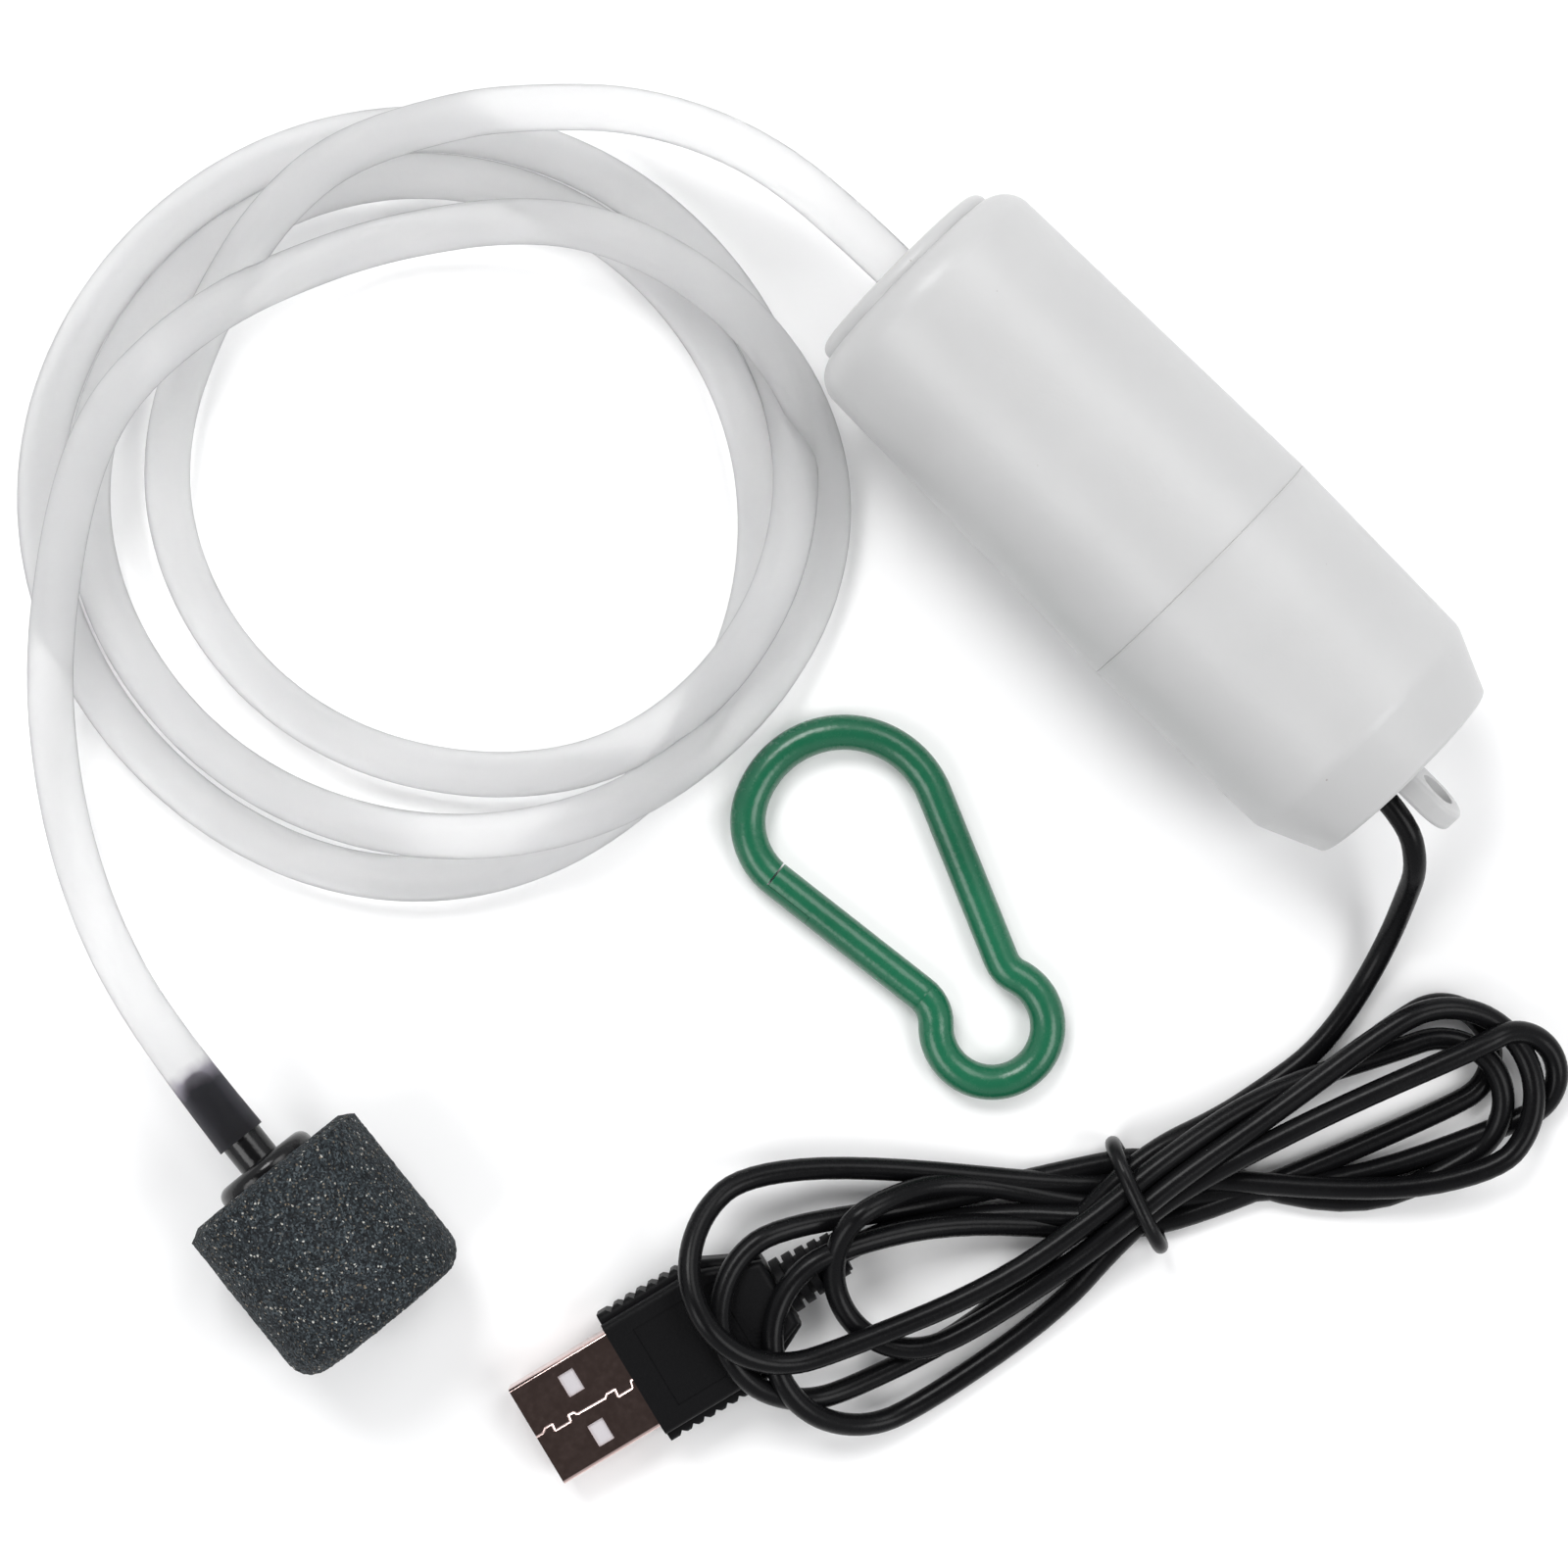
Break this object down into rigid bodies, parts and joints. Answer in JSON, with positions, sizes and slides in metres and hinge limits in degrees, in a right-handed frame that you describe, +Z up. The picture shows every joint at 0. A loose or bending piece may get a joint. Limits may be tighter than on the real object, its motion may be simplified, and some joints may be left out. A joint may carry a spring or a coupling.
{
  "type": "aquarium air pump",
  "caption": "Small USB-powered aquarium air pump with a capsule case, coiled silicone hose, air stone, tied cable and a spring snap clip.",
  "frame": {"origin": "on the floor plane, straight under the middle of the pump case's length", "axes": "+Z up from the floor; +X along the pump case toward the air outlet; the hose, cable and clip lie toward +Y"},
  "size_m": [0.18, 0.1449, 0.031],
  "materials": {
    "case_white": "satin moulded",
    "seal_rubber": "matte",
    "black_rubber": "matte",
    "steel": "satin",
    "bronze": "machined",
    "nylon_white": "moulded",
    "ferrite": "ground",
    "copper_core": "wound",
    "carbon": "pressed",
    "brass": "stamped",
    "capacitor_blue": "dipped",
    "wire_red_pvc": "smooth",
    "wire_black_pvc": "smooth",
    "foam": "foam",
    "pump_black": "moulded",
    "diaphragm_rubber": "moulded",
    "silicone": "frosted translucent silicone",
    "stem_black": "moulded",
    "stone": "sintered grains",
    "cable_black": "satin jacket",
    "nickel": "nickel plated",
    "tongue_white": "moulded",
    "gold": "plated",
    "green_paint": "gloss coat"
  },
  "bodies": {
    "housing": {"front_case": "case_white", "rear_cover": "case_white", "case_seal": "seal_rubber", "cable_grommet": "black_rubber", "motor_can": "steel", "motor_end_cap": "nylon_white", "front_bushing": "bronze", "rear_bushing": "bronze", "magnets": "ferrite", "brushes": "carbon", "terminals": "brass", "capacitor": "capacitor_blue", "wire_red": "wire_red_pvc", "wire_black": "wire_black_pvc", "motor_sleeve": "foam", "crankcase": "pump_black", "motor_screws": "steel", "diaphragm_holder": "pump_black", "diaphragm": "diaphragm_rubber", "valve_plate": "pump_black", "intake_valves": "diaphragm_rubber", "outlet_valve": "diaphragm_rubber", "pump_cover": "pump_black", "head_screws": "steel", "head_damper": "foam", "hose_lead": "silicone", "hose_coil": "silicone", "hose_tail": "silicone", "stone_stem": "stem_black", "air_stone": "stone", "cable_lead": "cable_black", "cable_hank": "cable_black", "cable_tie": "black_rubber", "usb_shell": "nickel", "usb_tongue": "tongue_white", "usb_contacts": "gold", "usb_overmold": "cable_black"},
    "rotor": {"motor_shaft": "steel", "armature": "copper_core", "commutator": "brass", "eccentric_wheel": "nylon_white", "crank_pin": "steel"},
    "rocker": {"swing_frame": "nylon_white"},
    "clip": {"clip_body": "green_paint"},
    "gate": {"clip_gate": "green_paint"}
  },
  "joints": [
    {"name": "motor_spin", "type": "hinge", "parent": "housing", "child": "rotor", "pos_m": [0, 0, 0.0155], "axis": [1, 0, 0], "continuous": true},
    {"name": "rocker_turn", "type": "hinge", "parent": "rotor", "child": "rocker", "pos_m": [0.02, 0, 0.0155], "axis": [0.9877, 0, -0.1564], "continuous": true},
    {"name": "clip_lift", "type": "slide", "parent": "housing", "child": "clip", "axis": [0, 0, 1], "range_m": [0, 0.04]},
    {"name": "gate_open", "type": "hinge", "parent": "clip", "child": "gate", "pos_m": [-0.01895, 0.0532, 0.00195], "axis": [0, 0, -1], "range_deg": [0, 24], "stiffness_Nm_per_rad": 0.3}
  ],
  "couplings": [
    {"joint": "rocker_turn", "follows": "motor_spin", "ratio": -1}
  ]
}
